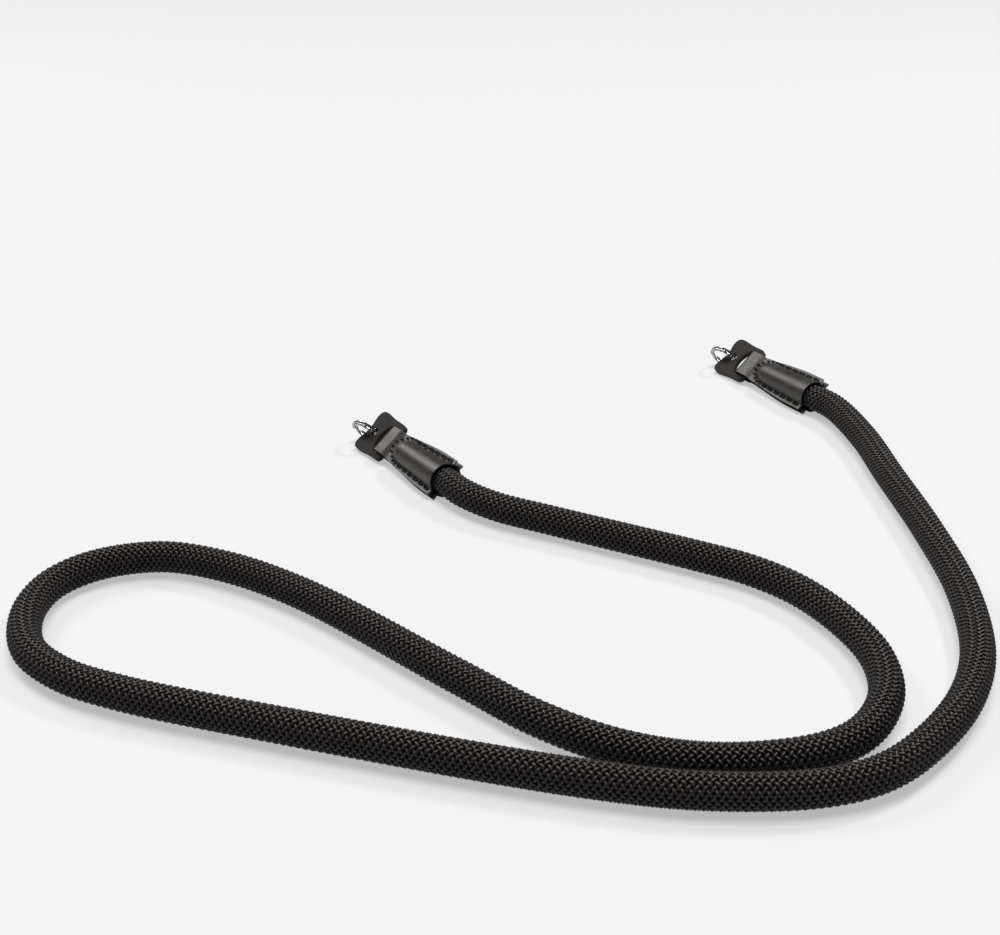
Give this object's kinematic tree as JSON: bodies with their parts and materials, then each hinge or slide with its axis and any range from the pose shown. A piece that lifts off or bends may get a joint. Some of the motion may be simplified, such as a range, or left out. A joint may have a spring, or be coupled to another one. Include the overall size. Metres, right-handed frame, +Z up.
{
  "type": "braided rope camera neck strap with leather ends and split rings",
  "caption": "Black braided rope neck strap for a camera, lying in loose loops, with sewn leather ends, leather ring pads and small steel split rings.",
  "frame": {"origin": "on the surface that the strap lies on, under the middle of the box round the two leather ends with their pads and rings", "axes": "+Z is up; +X runs to the right in the picture, from the left end to the right end; +Y runs away from the viewer, and the rope lies mostly toward -Y"},
  "size_m": [0.2958, 0.2976, 0.0124],
  "materials": {
    "braided_cord": "matte black one-over-one braid with a faint sheen on each strand",
    "smooth_leather": "smooth satin black leather",
    "pad_leather": "matte brownish black leather",
    "ring_steel": "polished nickel-plated spring steel"
  },
  "bodies": {
    "root": {"rope": "braided_cord", "end_strip_left": "smooth_leather", "end_strip_right": "smooth_leather", "ring_pad_left": "pad_leather", "ring_pad_right": "pad_leather", "split_ring_left": "ring_steel", "split_ring_right": "ring_steel"}
  },
  "joints": []
}
